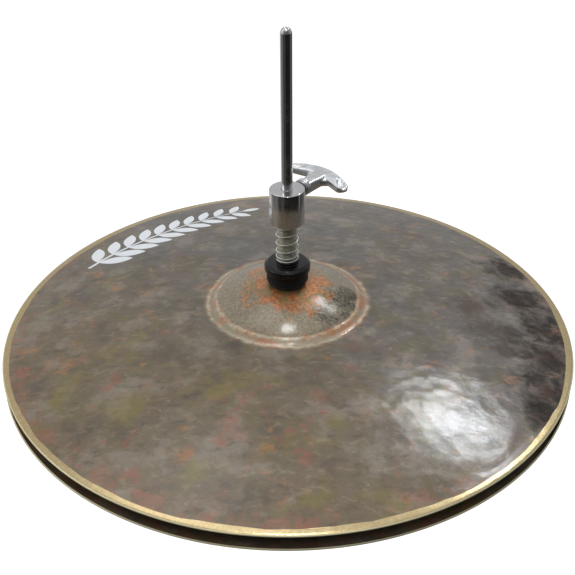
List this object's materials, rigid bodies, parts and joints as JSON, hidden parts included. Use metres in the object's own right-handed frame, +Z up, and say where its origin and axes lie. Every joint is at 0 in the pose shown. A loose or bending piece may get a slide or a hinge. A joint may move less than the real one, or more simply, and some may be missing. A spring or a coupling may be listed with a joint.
{
  "type": "hi hat cymbal pair",
  "caption": "Pair of 14-inch hi-hat cymbals with sprung clutch, wing screw, pull rod and tilting lower seat on a stand tube.",
  "frame": {"origin": "centre of the stand tube's lower end", "axes": "+Z up the pull rod, +X towards the tilt screw"},
  "size_m": [0.3556, 0.3556, 0.3969],
  "materials": {
    "bronze": "dark raw bell bronze, hammered, with a bright lathed rim",
    "chrome": "polished chrome plate",
    "cast_chrome": "chrome plate over a soft-edged casting",
    "steel": "zinc-plated steel",
    "thread_steel": "fine cut thread, nickel plate",
    "spring_wire": "bright spring wire",
    "black_plastic": "moulded black, slightly glossy",
    "black_felt": "dense pressed wool felt",
    "grey_felt": "dense pressed wool felt",
    "nylon": "natural nylon",
    "ink": "thin pale screen-printed ink, on the ornament only"
  },
  "bodies": {
    "stand": {"stand_tube": "chrome", "seat_base": "cast_chrome", "rod_bush": "nylon", "base_clamp_screw": "steel", "pivot_screws": "steel", "tilt_lock_nut": "steel"},
    "rod": {"pull_rod": "chrome", "rod_lock_nut": "steel"},
    "clutch": {"clutch_body": "chrome", "clutch_tube": "thread_steel", "clutch_spring": "spring_wire"},
    "wing_thread": {"wing_lock_washer": "steel"},
    "wing": {"wing_stud": "steel", "wing_handle": "cast_chrome"},
    "cup": {"felt_cup": "black_plastic", "top_felt": "black_felt"},
    "top_cymbal": {"top_cymbal": "bronze"},
    "nut_thread": {"nut_washer": "steel", "lower_felt": "black_felt"},
    "nut": {"clutch_nut": "chrome"},
    "seat": {"seat_plate": "cast_chrome", "seat_sleeve": "black_plastic", "seat_washer": "steel", "seat_felt": "grey_felt"},
    "bottom_cymbal": {"bottom_cymbal": "bronze"},
    "tilt_screw": {"tilt_screw": "chrome"}
  },
  "joints": [
    {"name": "rod_stroke", "type": "slide", "parent": "stand", "child": "rod", "axis": [0, 0, -1], "range_m": [0, 0.0078], "stiffness_N_per_m": 1500, "springref_m": -0.02},
    {"name": "clutch_height", "type": "slide", "parent": "rod", "child": "clutch", "axis": [0, 0, 1], "range_m": [-0.0078, 0.09]},
    {"name": "wing_advance", "type": "slide", "parent": "clutch", "child": "wing_thread", "axis": [0.6157, 0.788, 0], "range_m": [0, 0.001]},
    {"name": "wing_turn", "type": "hinge", "parent": "wing_thread", "child": "wing", "pos_m": [0, 0, 0.2758], "axis": [0.6157, 0.788, 0], "range_deg": [0, 360]},
    {"name": "cup_lift", "type": "slide", "parent": "clutch", "child": "cup", "axis": [0, 0, 1], "range_m": [0, 0.008], "stiffness_N_per_m": 600, "springref_m": -0.012, "deforming": ["clutch_spring"]},
    {"name": "top_cymbal_spin", "type": "hinge", "parent": "cup", "child": "top_cymbal", "pos_m": [0, 0, 0.2162], "axis": [0, 0, 1], "continuous": true},
    {"name": "nut_advance", "type": "slide", "parent": "clutch", "child": "nut_thread", "axis": [0, 0, -1], "range_m": [0, 0.003]},
    {"name": "nut_turn", "type": "hinge", "parent": "nut_thread", "child": "nut", "pos_m": [0, 0, 0.2035], "axis": [0, 0, -1], "range_deg": [0, 1080]},
    {"name": "seat_tilt", "type": "hinge", "parent": "stand", "child": "seat", "pos_m": [0, 0, 0.1278], "axis": [0, -1, 0], "range_deg": [0, 2.29]},
    {"name": "tilt_turn", "type": "hinge", "parent": "stand", "child": "tilt_screw", "pos_m": [0.02, 0, 0.115], "axis": [0, 0, 1], "range_deg": [0, 360]},
    {"name": "bottom_cymbal_spin", "type": "hinge", "parent": "seat", "child": "bottom_cymbal", "pos_m": [0, 0, 0.1418], "axis": [0, 0, 1], "continuous": true}
  ],
  "couplings": [
    {"joint": "wing_turn", "follows": "wing_advance", "rad_per_m": 6283.2},
    {"joint": "nut_turn", "follows": "nut_advance", "rad_per_m": 6283.2},
    {"joint": "tilt_turn", "follows": "seat_tilt", "ratio": 157.08}
  ]
}
